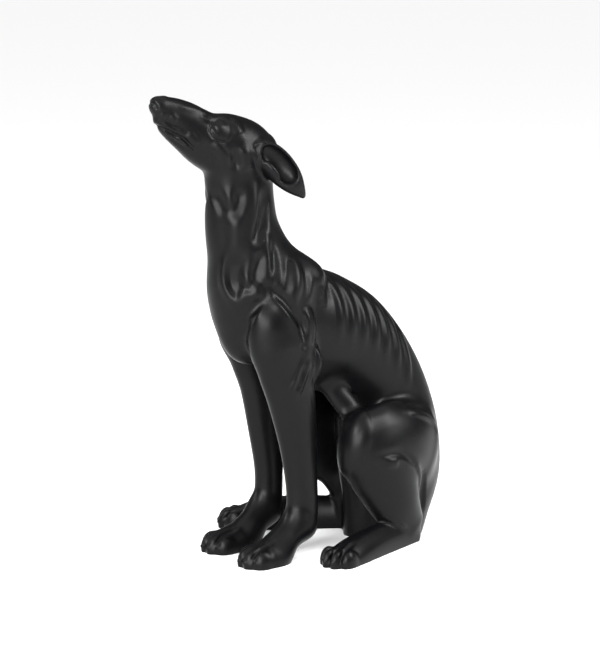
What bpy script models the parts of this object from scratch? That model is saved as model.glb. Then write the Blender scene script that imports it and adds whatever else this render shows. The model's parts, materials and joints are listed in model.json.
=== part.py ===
"""A seated sighthound statue with raised head, cast in one piece: the closed body that stands on the floor.

The dog looks along -Y, its left side is +X and up is +Z. Every place and size below is a share of the
figure's height unless its name ends in _M, which is metres.
"""

import math

import bmesh
import bpy
import numpy as np
import openvdb
from mathutils import Euler

# Height of the whole statue, floor to the top of the nose.
STATUE_HEIGHT_M = 0.79
# Width of one cell of the modelling grid, and the number of triangles kept for the solid.
CELL_M = 0.0042
TRIANGLES = 9400

# Places and sizes as shares, where the top of the nose is at NOSE_TOP.
NOSE_TOP = 0.991
FORELEG_X = 0.074
FORELEG_WIDTH = 0.026
PAW_WIDTH = 0.041
RIGHT_SHOULDER_SET_BACK = 0.020
RIGHT_FORELEG_SET_BACK = 0.014
HIND_FOOT_WIDTH = 0.039
THIGH_X = 0.114
EAR_CUP_LENGTH = 0.066
EAR_CUP_WIDTH = 0.033
EYE_RADIUS = 0.0200
RIB_COUNT = 7
RIB_SPACING = 0.0318
RIB_HEIGHT = 0.0038
CARVING_DEPTH = 1.0

LEFT, RIGHT = 1, -1
NOWHERE = np.float32(1.0)


def smooth_rows(rows, steps):
    """Rows on a smooth curve through the given rows, with this many steps in each span."""
    rows = [np.asarray(row, float) for row in rows]
    rows = [2 * rows[0] - rows[1], *rows, 2 * rows[-1] - rows[-2]]
    made = []
    for a, b, c, d in zip(rows, rows[1:], rows[2:], rows[3:]):
        for i in range(steps):
            t = i / steps
            bend = (2 * a - 5 * b + 4 * c - d) * t * t + (3 * b - a - 3 * c + d) * t**3
            made.append(0.5 * (2 * b + (c - a) * t + bend))
    made.append(rows[-2])
    return np.array(made)


def unit(vector):
    vector = np.asarray(vector, float)
    return vector / np.linalg.norm(vector)


def turned(pitch=0.0, yaw=0.0):
    """The three axes of an oval after these turns in degrees, as rows."""
    matrix = Euler((math.radians(pitch), 0.0, math.radians(yaw)), "XYZ").to_matrix()
    return np.array(matrix.transposed())


def soft_least(a, b, blend):
    """The smaller of two distances, rounded where they meet within blend."""
    h = np.maximum(blend - np.abs(a - b), 0.0) / blend
    return np.minimum(a, b) - h * h * (blend * 0.25)


class Clay:
    """A grid of distances to the surface, negative inside, that forms are added to and carved from."""

    def __init__(self, low, high, cell):
        self.low = np.array(low, float)
        self.cell = cell
        self.count = np.ceil((np.array(high) - self.low) / cell).astype(int) + 1
        self.axes = [(self.low[i] + cell * np.arange(self.count[i])).astype(np.float32) for i in range(3)]
        self.field = np.full(self.count, NOWHERE, np.float32)

    def window(self, low, high):
        start = np.clip(np.floor((np.asarray(low) - self.low) / self.cell).astype(int), 0, self.count)
        stop = np.clip(np.ceil((np.asarray(high) - self.low) / self.cell).astype(int) + 1, 0, self.count)
        return tuple(slice(int(i), int(j)) for i, j in zip(start, stop))

    def places(self, window):
        x, y, z = (self.axes[i][window[i]] for i in range(3))
        return x[:, None, None], y[None, :, None], z[None, None, :]

    def press(self, window, shape, blend, cut):
        here = self.field[window]
        self.field[window] = -soft_least(-here, shape, blend) if cut else soft_least(here, shape, blend)

    def ball(self, centre, radii, blend, frame=None, cut=False):
        """An oval with its radii along the rows of frame, added or cut with this blend."""
        radii = np.asarray(radii, float)
        frame = np.eye(3) if frame is None else frame
        reach = np.abs(frame.T) @ radii + blend + 2 * self.cell
        window = self.window(np.array(centre) - reach, np.array(centre) + reach)
        x, y, z = (place - np.float32(c) for place, c in zip(self.places(window), centre))
        near, slope = 0.0, 1e-9
        for axis, radius in zip(frame, radii):
            along = x * np.float32(axis[0]) + y * np.float32(axis[1]) + z * np.float32(axis[2])
            q = along / np.float32(radius)
            near = near + q * q
            slope = slope + (q / np.float32(radius)) ** 2
        near = np.sqrt(near)
        self.press(window, (near - 1) * near / np.sqrt(slope), blend, cut)

    def sweep(self, stations, blend, side=(1, 0, 0), steps=4, cut=False):
        """A limb along stations of x, y, z, half-width towards side and half-depth across it."""
        rows = smooth_rows(stations, steps)
        centre = rows[:, :3]
        run = np.diff(centre, axis=0)
        run = run / np.linalg.norm(run, axis=1)[:, None]
        turn = np.vstack([run[:1], run[:-1] + run[1:], run[-1:]])
        turn = turn / np.linalg.norm(turn, axis=1)[:, None]
        side = np.asarray(side, float)
        across = side - (turn @ side)[:, None] * turn
        across = across / np.linalg.norm(across, axis=1)[:, None]
        grow = rows[:, 3:5].max(1) + blend + 2 * self.cell
        whole = self.window(centre.min(0) - grow.max(), centre.max(0) + grow.max())
        shape = np.full([s.stop - s.start for s in whole], NOWHERE, np.float32)
        last = len(rows) - 2
        for i in range(last + 1):
            g = max(grow[i], grow[i + 1])
            low = np.minimum(centre[i], centre[i + 1]) - g
            high = np.maximum(centre[i], centre[i + 1]) + g
            window = self.window(low, high)
            if any(w.stop <= w.start for w in window):
                continue
            part = tuple(slice(w.start - s.start, w.stop - s.start) for w, s in zip(window, whole))
            ends = (i == 0, i == last)
            link = self.link(window, rows[i : i + 2], turn[i : i + 2], across[i : i + 2], ends)
            shape[part] = np.minimum(shape[part], link)
        self.press(whole, shape, blend, cut)

    def link(self, window, rows, turn, across, ends):
        """Distance to the piece between two stations, whose end planes halve the bends."""
        x, y, z = self.places(window)
        f = np.float32

        def beyond(row, axis):
            return (x - f(row[0])) * f(axis[0]) + (y - f(row[1])) * f(axis[1]) + (z - f(row[2])) * f(axis[2])

        def mixed(a, b):
            return f(a) + share * f(b - a)

        start = beyond(rows[0], turn[0])
        stop = beyond(rows[1], turn[1])
        before, after = start < 0, stop > 0
        share = start / np.maximum(start - stop, f(1e-5))
        share = np.clip(np.where(before, f(0), np.where(after, f(1), share)), 0, 1)
        offset = [p - mixed(rows[0][i], rows[1][i]) for i, p in enumerate((x, y, z))]
        upright = [np.cross(turn[0], across[0]), np.cross(turn[1], across[1])]
        width = mixed(rows[0][3], rows[1][3])
        depth = mixed(rows[0][4], rows[1][4])
        tip = np.minimum(width, depth)
        a = sum(offset[i] * mixed(across[0][i], across[1][i]) for i in range(3)) / width
        b = sum(offset[i] * mixed(upright[0][i], upright[1][i]) for i in range(3)) / depth
        c = np.where(before, start, np.where(after, stop, f(0))) / tip
        near = np.sqrt(a * a + b * b + c * c)
        slope = np.sqrt((a / width) ** 2 + (b / depth) ** 2 + (c / tip) ** 2) + f(1e-6)
        distance = (near - 1) * near / slope
        if not ends[0]:
            distance = np.where(before, NOWHERE, distance)
        if not ends[1]:
            distance = np.where(after, NOWHERE, distance)
        return distance

    def read(self, points):
        """The field at any points, between the cells' corners."""
        place = np.clip((points - self.low) / self.cell, 0, self.count - 1.001)
        base = place.astype(int)
        part = place - base
        value = 0.0
        for corner in np.ndindex(2, 2, 2):
            weight = np.where(corner, part, 1 - part).prod(1)
            i, j, k = (base + corner).T
            value = value + weight * self.field[i, j, k]
        return value

    def on_surface(self, points):
        """The points moved onto the surface along the field's slope."""
        points = np.array(points, float)
        steps = self.cell * np.eye(3)
        for _ in range(6):
            rise = [self.read(points + step) - self.read(points - step) for step in steps]
            slope = np.stack(rise, 1) / (2 * self.cell)
            steep = np.maximum((slope * slope).sum(1), 0.05)
            points = points - (self.read(points) / steep)[:, None] * slope
        return points

    def line(self, points, width, height, fade=True):
        """A soft ridge, or a groove where height is negative, along a line on the surface."""
        rows = smooth_rows(self.on_surface(points), 6)
        width = max(width, 1.5 * self.cell)
        grow = width + 2 * self.cell
        whole = self.window(rows.min(0) - grow, rows.max(0) + grow)
        nearest = np.full([s.stop - s.start for s in whole], NOWHERE, np.float32)
        along = np.zeros_like(nearest)
        for i, (a, b) in enumerate(zip(rows, rows[1:])):
            window = self.window(np.minimum(a, b) - grow, np.maximum(a, b) + grow)
            part = tuple(slice(w.start - s.start, w.stop - s.start) for w, s in zip(window, whole))
            x, y, z = (p - np.float32(c) for p, c in zip(self.places(window), a))
            run = (b - a).astype(np.float32)
            length = max(float(run @ run), 1e-12)
            share = np.clip((x * run[0] + y * run[1] + z * run[2]) / np.float32(length), 0, 1)
            aside = (x - share * run[0]) ** 2 + (y - share * run[1]) ** 2 + (z - share * run[2]) ** 2
            distance = np.sqrt(aside)
            closer = distance < nearest[part]
            nearest[part] = np.where(closer, distance, nearest[part])
            along[part] = np.where(closer, (i + share) / (len(rows) - 1), along[part])
        t = np.clip(nearest / np.float32(width), 0, 1)
        shape = (1 - t * t) ** 2
        if fade:
            end = np.clip(np.minimum(along, 1 - along) / 0.3, 0, 1)
            shape = shape * (0.15 + 0.85 * end * end * (3 - 2 * end))
        self.field[whole] -= np.float32(height * CARVING_DEPTH) * shape

    def soften(self, low, high, reach):
        """Rub the surface inside this box smooth, so that edges closer than reach run together."""
        window = self.window(low, high)
        rubbed = self.field[window].copy()
        for _ in range(max(1, round(2 * (reach / self.cell) ** 2))):
            for axis in range(3):
                inner = [slice(None)] * 3
                before, after = list(inner), list(inner)
                inner[axis], before[axis], after[axis] = slice(1, -1), slice(None, -2), slice(2, None)
                both = rubbed[tuple(before)] + rubbed[tuple(after)]
                rubbed[tuple(inner)] = (both + 2 * rubbed[tuple(inner)]) / 4
        share = np.float32(1)
        for place, a, b in zip(self.places(window), low, high):
            edge = np.minimum(place - np.float32(a), np.float32(b) - place)
            share = share * np.clip(edge / np.float32(0.02), 0, 1)
        self.field[window] += share * (rubbed - self.field[window])


def midline(stations):
    """Stations of y, z, half-width and half-depth, put on the middle plane."""
    return [(0.0, *station) for station in stations]


def model_trunk(clay):
    # Deep chest, arched back and sloping rump down to the seat.
    trunk = [
        (-0.227, 0.592, 0.067, 0.087),
        (-0.165, 0.548, 0.080, 0.114),
        (-0.102, 0.507, 0.087, 0.115),
        (-0.038, 0.477, 0.090, 0.119),
        (0.032, 0.444, 0.087, 0.111),
        (0.095, 0.381, 0.083, 0.105),
        (0.141, 0.306, 0.083, 0.103),
        (0.163, 0.225, 0.093, 0.106),
        (0.166, 0.140, 0.103, 0.104),
        (0.147, 0.060, 0.102, 0.092),
        (0.131, -0.020, 0.094, 0.080),
    ]
    clay.sweep(midline(trunk), 0.03)
    clay.ball((0, -0.215, 0.505), (0.048, 0.075, 0.090), 0.03)
    clay.ball((0, -0.058, 0.388), (0.052, 0.075, 0.048), 0.025)
    # The belly's end comes down to the floor between the hind legs.
    clay.sweep(midline([(0.070, 0.260, 0.045, 0.055), (0.062, 0.170, 0.034, 0.042),
                        (0.076, 0.090, 0.030, 0.042), (0.082, -0.020, 0.031, 0.042)]), 0.02)
    for side in (LEFT, RIGHT):
        # Fold of skin from the belly to the front of the thigh.
        clay.sweep([(side * 0.038, -0.036, 0.360, 0.015, 0.026),
                    (side * 0.050, -0.019, 0.330, 0.013, 0.026),
                    (side * 0.064, 0.001, 0.299, 0.013, 0.027),
                    (side * 0.086, 0.014, 0.260, 0.015, 0.028)], 0.02)


def model_neck_and_head(clay):
    clay.sweep(midline([(-0.185, 0.560, 0.080, 0.110), (-0.214, 0.635, 0.068, 0.096),
                        (-0.234, 0.700, 0.060, 0.084), (-0.240, 0.760, 0.055, 0.079),
                        (-0.240, 0.820, 0.051, 0.075)]), 0.04)
    # Skull and the long narrow muzzle, raised above level.
    clay.sweep(midline([(-0.200, 0.852, 0.046, 0.057), (-0.235, 0.870, 0.054, 0.064),
                        (-0.285, 0.884, 0.051, 0.065), (-0.325, 0.9005, 0.040, 0.054),
                        (-0.352, 0.918, 0.032, 0.048), (-0.376, 0.935, 0.026, 0.043),
                        (-0.405, 0.953, 0.0215, 0.035), (-0.429, 0.968, 0.0185, 0.0245)]), 0.02)
    clay.ball((0, -0.4400, 0.9715), (0.0165, 0.0170, 0.0190), 0.008)
    # Lower jaw.
    clay.sweep(midline([(-0.275, 0.842, 0.040, 0.034), (-0.337, 0.868, 0.030, 0.027),
                        (-0.378, 0.896, 0.0215, 0.022), (-0.413, 0.923, 0.0175, 0.0185),
                        (-0.434, 0.943, 0.014, 0.0135)]), 0.008)
    clay.ball((0, -0.262, 0.815), (0.040, 0.050, 0.050), 0.02)


def model_ear(clay, side):
    """A folded ear that lies back: an open cup at its root and a flat pointed tip."""
    root = np.array((side * 0.058, -0.222, 0.882))
    end = np.array((side * 0.088, -0.154, 0.794))
    axis = unit(end - root)
    outward = np.array((side * 1.0, -0.35, 0.0))
    outward = unit(outward - outward @ axis * axis)
    across = np.cross(axis, outward)
    frame = np.array([axis, across, outward])
    middle = (root + end) / 2
    clay.ball(middle - (side * 0.006, 0, 0), (EAR_CUP_LENGTH, EAR_CUP_WIDTH, 0.024), 0.012, frame)
    clay.sweep([(side * 0.082, -0.178, 0.822, 0.026, 0.014), (side * 0.085, -0.158, 0.797, 0.022, 0.010),
                (side * 0.085, -0.142, 0.779, 0.013, 0.007), (side * 0.084, -0.134, 0.768, 0.006, 0.005)],
               0.008, side=across)
    hollow = (0.76 * EAR_CUP_LENGTH, 0.80 * EAR_CUP_WIDTH, 0.022)
    clay.ball(middle + (side * 0.007, -0.006, 0.006), hollow, 0.003, frame, cut=True)
    # Lobe of skin that stands inside the cup, at its front edge.
    clay.ball(middle + (side * -0.002, -0.018, -0.006), (0.026, 0.009, 0.012), 0.004, frame)


def model_toes(clay, tip, run, across, width, tall):
    """Four blunt toes with short claws, parted by grooves that start on top of the paw."""
    frame = turned(yaw=math.degrees(math.atan2(run[0], -run[1])))
    for place in (-0.74, -0.27, 0.27, 0.74):
        centre = tip - run * (0.025 + 0.032 * place * place) + across * place * width
        clay.ball((*centre, 0.009), (0.33 * width, 0.023, tall), 0.006, frame)
        claw = centre + run * 0.018
        clay.ball((*claw, 0.014), (0.10 * width, 0.008, 0.006), 0.002, frame)
    for place in (-0.50, 0.0, 0.50):
        rear = tip - run * (0.066 + 0.020 * abs(place)) + across * place * 0.80 * width
        front = tip - run * (0.006 + 0.030 * place * place) + across * place * width
        clay.line([(*rear, 0.045), (*(0.5 * rear + 0.5 * front), 0.038), (*front, 0.016)], 0.008, -0.006)


def model_foreleg(clay, side):
    back = 0.0 if side == LEFT else RIGHT_FORELEG_SET_BACK
    # Shoulder blade with its top beside the withers.
    clay.sweep([(side * 0.040, -0.105, 0.600, 0.030, 0.036), (side * 0.060, -0.165, 0.555, 0.035, 0.050),
                (side * 0.066, -0.210, 0.505, 0.034, 0.050)], 0.03)
    clay.ball((side * 0.050, -0.102 + back, 0.596), (0.026, 0.034, 0.026), 0.02)
    # Upper arm, the muscle behind it and the elbow.
    clay.ball((side * 0.072, -0.198 + 1.4 * back, 0.482), (0.041, 0.066, 0.078), 0.02)
    clay.ball((side * 0.070, -0.150 + back, 0.455), (0.034, 0.045, 0.060), 0.02)
    clay.ball((side * 0.088, -0.134 + back, 0.502), (0.021, 0.022, 0.046), 0.006, turned(pitch=8))
    clay.ball((side * 0.088, -0.116 + back, 0.418), (0.018, 0.020, 0.034), 0.012, turned(pitch=-12))
    x = side * FORELEG_X
    wide = FORELEG_WIDTH
    high = 2.2 * back
    lean = 0.004 if side == LEFT else 0.0
    clay.sweep([(x, -0.188 + high, 0.460, 1.31 * wide, 0.064),
                (x, -0.176 + high, 0.415, 1.38 * wide, 0.066),
                (x, -0.161 + high, 0.350, 1.31 * wide, 0.057), (x, -0.1445 + 1.6 * back, 0.255, 1.08 * wide,
                                                                0.0455),
                (x, -0.131 + back - lean, 0.165, 0.98 * wide, 0.034 + lean),
                (x, -0.129 + 0.8 * back - lean, 0.105, 0.98 * wide, 0.0335 + lean),
                (x, -0.136 + 0.8 * back, 0.065, 1.12 * wide, 0.036)], 0.02)
    # Paw with a sloping top and a blunt front of four toes.
    paw_x = side * (FORELEG_X + (0.0045 if side == LEFT else -0.011))
    front = -0.298 if side == LEFT else -0.297
    clay.sweep([(x, -0.150 + back, 0.072, 0.70 * PAW_WIDTH, 0.030),
                (paw_x, -0.184 + back, 0.044, 0.82 * PAW_WIDTH, 0.034),
                (paw_x, -0.217 + back, 0.013, 1.04 * PAW_WIDTH, 0.043),
                (paw_x, front + 0.045, 0.008, 1.02 * PAW_WIDTH, 0.036)], 0.025)
    forward, sideways = np.array((0.0, -1.0)), np.array((1.0, 0.0))
    model_toes(clay, np.array((paw_x, front)), forward, sideways, PAW_WIDTH, 0.028)


def model_hind_leg(clay, side):
    """Folded hind leg: thigh, lower leg and a long flat foot, turned out more on the right."""
    if side == LEFT:
        heel, toe = np.array((0.108, 0.129)), np.array((0.175, -0.106))
        shank = [(0.118, 0.022, 0.215, 0.046, 0.084), (0.124, 0.049, 0.160, 0.042, 0.079),
                 (0.124, 0.081, 0.095, 0.035, 0.062), (0.112, 0.119, 0.045, 0.030, 0.042)]
    else:
        heel, toe = np.array((-0.064, 0.105)), np.array((-0.206, -0.110))
        shank = [(-0.116, 0.025, 0.215, 0.046, 0.080), (-0.104, 0.085, 0.145, 0.040, 0.066),
                 (-0.084, 0.101, 0.092, 0.034, 0.048), (-0.066, 0.100, 0.045, 0.026, 0.036)]
    knee_x = side * (THIGH_X + 0.004)
    clay.sweep([(side * (THIGH_X - 0.034), 0.160, 0.190, 0.052, 0.090),
                (side * (THIGH_X - 0.012), 0.100, 0.212, 0.056, 0.098),
                (side * THIGH_X, 0.032, 0.226, 0.051, 0.094), (knee_x, -0.019, 0.239, 0.043,
                                                               0.072)], 0.03, steps=8)
    clay.sweep(shank, 0.018, steps=8)
    run = unit(toe - heel)
    across = np.array((-run[1], run[0]))
    foot = []
    tall = 1.04 if side == LEFT else 1.28
    for along, height, width, depth in ((0.0, 0.016, 0.66, 0.038), (0.25, 0.014, 0.74, 0.043),
                                        (0.55, 0.012, 0.86, 0.045), (0.85, 0.006, 1.0, 0.041),
                                        (0.97, 0.004, 1.02, 0.034)):
        foot.append((*(heel + (toe - heel) * along), height, width * HIND_FOOT_WIDTH, tall * depth))
    clay.sweep(foot, 0.012, side=(*across, 0))
    model_toes(clay, toe + run * 0.048, run, across, HIND_FOOT_WIDTH, 0.026 * tall)


def mirrored(points, side, back=0.0):
    return [(side * x, y + back, z) for x, y, z in points]


def carve_neck(clay, side, back):
    def line(points, width, height, share=0.0):
        clay.line(mirrored(points, side, share * back), width, height)

    # Two broad muscles that come down from the jaw and the ear and join into one, as in a Y.
    line([(0.010, -0.317, 0.792), (0.022, -0.311, 0.777), (0.033, -0.303, 0.757), (0.039, -0.298, 0.736)],
         0.020, -0.007)
    line([(0.048, -0.276, 0.800), (0.048, -0.276, 0.773), (0.048, -0.281, 0.748), (0.048, -0.286, 0.728)],
         0.020, -0.006)
    line([(0.037, -0.297, 0.806), (0.043, -0.293, 0.778), (0.046, -0.291, 0.750), (0.047, -0.289, 0.722),
          (0.047, -0.285, 0.695)], 0.022, 0.008)
    line([(0.053, -0.252, 0.790), (0.052, -0.264, 0.756), (0.050, -0.276, 0.727), (0.048, -0.282, 0.696),
          (0.047, -0.282, 0.665), (0.046, -0.278, 0.630)], 0.024, 0.009)
    # Long strap muscle from the ear to the shoulder, with a hollow behind it.
    line([(0.049, -0.213, 0.797), (0.052, -0.215, 0.762), (0.057, -0.223, 0.728), (0.060, -0.235, 0.698),
          (0.061, -0.247, 0.673)], 0.024, -0.009)
    line([(0.053, -0.241, 0.812), (0.056, -0.237, 0.777), (0.059, -0.241, 0.746), (0.061, -0.251, 0.716),
          (0.061, -0.258, 0.686), (0.060, -0.262, 0.655), (0.060, -0.265, 0.628)], 0.017, 0.008)
    # Two straps that spread from the nape to the shoulder.
    line([(0.058, -0.204, 0.702), (0.063, -0.222, 0.685), (0.064, -0.238, 0.668), (0.065, -0.249, 0.650)],
         0.018, 0.010)
    line([(0.066, -0.227, 0.673), (0.071, -0.238, 0.654), (0.074, -0.247, 0.632), (0.076, -0.254, 0.610),
          (0.072, -0.266, 0.588), (0.064, -0.276, 0.571)], 0.013, -0.008, 0.5)
    line([(0.064, -0.215, 0.686), (0.069, -0.215, 0.662), (0.076, -0.219, 0.636), (0.080, -0.224, 0.610),
          (0.083, -0.221, 0.587)], 0.018, 0.008, 0.5)
    line([(0.065, -0.204, 0.675), (0.073, -0.202, 0.649), (0.081, -0.210, 0.621)], 0.014, -0.008, 0.5)
    # Hollow above the breastbone between two ridges that meet in a V.
    clay.ball((side * 0.058, -0.293 + back, 0.612), (0.016, 0.024, 0.044), 0.012, turned(pitch=-6),
              cut=True)
    line([(0.043, -0.286, 0.669), (0.037, -0.290, 0.644), (0.040, -0.295, 0.618), (0.045, -0.293, 0.591),
          (0.051, -0.287, 0.570)], 0.013, -0.006, 1.0)
    line([(0.041, -0.291, 0.674), (0.036, -0.297, 0.653), (0.036, -0.302, 0.628), (0.040, -0.302, 0.602),
          (0.045, -0.298, 0.579), (0.049, -0.292, 0.560), (0.050, -0.286, 0.541)], 0.014, 0.008, 1.0)
    line([(0.072, -0.243, 0.644), (0.075, -0.251, 0.620), (0.075, -0.261, 0.596), (0.068, -0.271, 0.577),
          (0.058, -0.280, 0.560), (0.051, -0.283, 0.541)], 0.015, 0.008, 1.0)


def carve_shoulder(clay, side, back):
    def line(points, width, height):
        clay.line(mirrored(points, side, back), width, height)

    def lump(stations):
        clay.sweep([(side * x, y + back, z, wide, high) for x, y, z, wide, high in stations], 0.008)

    # Two long lumps of muscle on the shoulder blade, a ridge behind them and the grooves between.
    line([(0.067, -0.162, 0.640), (0.080, -0.169, 0.611), (0.090, -0.173, 0.590), (0.099, -0.172, 0.572)],
         0.013, -0.009)
    lump([(0.064, -0.186, 0.636, 0.007, 0.010), (0.071, -0.193, 0.616, 0.013, 0.015),
          (0.078, -0.202, 0.594, 0.013, 0.014), (0.080, -0.212, 0.574, 0.008, 0.010)])
    lump([(0.070, -0.153, 0.634, 0.010, 0.012), (0.079, -0.157, 0.610, 0.016, 0.019),
          (0.087, -0.166, 0.582, 0.017, 0.019), (0.092, -0.174, 0.556, 0.010, 0.011)])
    line([(0.077, -0.121, 0.620), (0.086, -0.119, 0.590), (0.092, -0.128, 0.563), (0.095, -0.145, 0.547)],
         0.014, 0.004)
    # Outline of the upper arm: a soft front edge, and a deep groove behind with a lip beside it.
    line([(0.083, -0.231, 0.567), (0.075, -0.246, 0.553), (0.068, -0.259, 0.532), (0.060, -0.264, 0.508),
          (0.050, -0.261, 0.479)], 0.013, -0.009)
    line([(0.085, -0.236, 0.558), (0.085, -0.248, 0.540), (0.084, -0.257, 0.522)], 0.012, 0.003)
    line([(0.083, -0.216, 0.591), (0.088, -0.207, 0.576), (0.095, -0.192, 0.559), (0.100, -0.178, 0.537),
          (0.099, -0.159, 0.513), (0.106, -0.154, 0.491), (0.111, -0.155, 0.466)], 0.013, -0.013)
    line([(0.087, -0.222, 0.573), (0.098, -0.214, 0.557), (0.106, -0.204, 0.544), (0.110, -0.192, 0.529),
          (0.111, -0.180, 0.507)], 0.016, 0.005)
    # Back of the upper arm.
    line([(0.095, -0.138, 0.549), (0.105, -0.130, 0.526), (0.109, -0.130, 0.499), (0.103, -0.129, 0.462)],
         0.008, -0.006)
    # Raised oval in front of the elbow with a slot down its middle, and the fold behind it.
    line([(0.105, -0.146, 0.440), (0.105, -0.157, 0.410), (0.107, -0.170, 0.382), (0.110, -0.186, 0.356)],
         0.022, 0.009)
    line([(0.104, -0.154, 0.422), (0.106, -0.165, 0.394), (0.110, -0.177, 0.368)], 0.011, -0.013)
    line([(0.096, -0.122, 0.457), (0.101, -0.117, 0.434), (0.101, -0.120, 0.404), (0.099, -0.124, 0.372)],
         0.008, -0.005)


def carve_ribs(clay, side):
    """Ribs that leave the back, bow towards the rump and fade above the belly."""
    back_y = (-0.056, 0.006, 0.065, 0.098, 0.137)
    back_z = (0.598, 0.574, 0.544, 0.517, 0.476)
    clay.line(mirrored([(0.078, -0.087, 0.584), (0.078, -0.085, 0.558), (0.084, -0.092, 0.534)], side),
              0.016, 0.004)
    for rib in range(1, RIB_COUNT + 1):
        start = -0.088 + RIB_SPACING * rib
        top = float(np.interp(start, back_y, back_z))
        bow = 0.014 + 0.001 * rib
        points = []
        for t in np.linspace(0, 1, 6):
            x = 0.040 + 0.047 * math.sin(math.pi / 2 * t)
            points.append((side * x, start + bow * math.sin(0.8 * math.pi * t),
                           top - 0.14 * (0.55 + 0.45 * t) * t))
        clay.line(points, 0.014, RIB_HEIGHT)


def carve_hind_leg(clay, side):
    def line(points, width, height):
        clay.line(mirrored(points, side), width, height)

    # Upper edge of the thigh behind the flank, with a hollow above it.
    line([(0.120, 0.105, 0.303), (0.106, 0.147, 0.292), (0.087, 0.196, 0.275)], 0.014, -0.008)
    line([(0.135, 0.095, 0.296), (0.133, 0.118, 0.290), (0.128, 0.143, 0.280), (0.113, 0.183, 0.260),
          (0.110, 0.200, 0.236)], 0.013, 0.007)
    # Crease of the folded knee with a bulge under it.
    line([(0.167, 0.001, 0.219), (0.165, 0.026, 0.219), (0.163, 0.057, 0.216), (0.160, 0.082, 0.203),
          (0.157, 0.100, 0.187), (0.149, 0.115, 0.168)], 0.010, -0.009)
    line([(0.169, 0.018, 0.203), (0.171, 0.035, 0.198), (0.168, 0.056, 0.199)], 0.016, 0.006)
    low, high = sorted((side * 0.110, side * 0.200))
    clay.soften((low, -0.03, 0.13), (high, 0.15, 0.25), 0.003)
    # Rear edge of the lower leg against the rump.
    line([(0.133, 0.146, 0.156), (0.112, 0.166, 0.116), (0.104, 0.172, 0.082), (0.102, 0.176, 0.057)],
         0.011, -0.010)
    line([(0.150, 0.116, 0.178), (0.135, 0.136, 0.143), (0.124, 0.148, 0.105), (0.118, 0.152, 0.072)],
         0.010, 0.008)
    # Front edge of the ankle.
    line([(0.147, 0.030, 0.072), (0.152, 0.048, 0.066), (0.151, 0.073, 0.054), (0.144, 0.098, 0.040)],
         0.008, 0.005)


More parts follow.
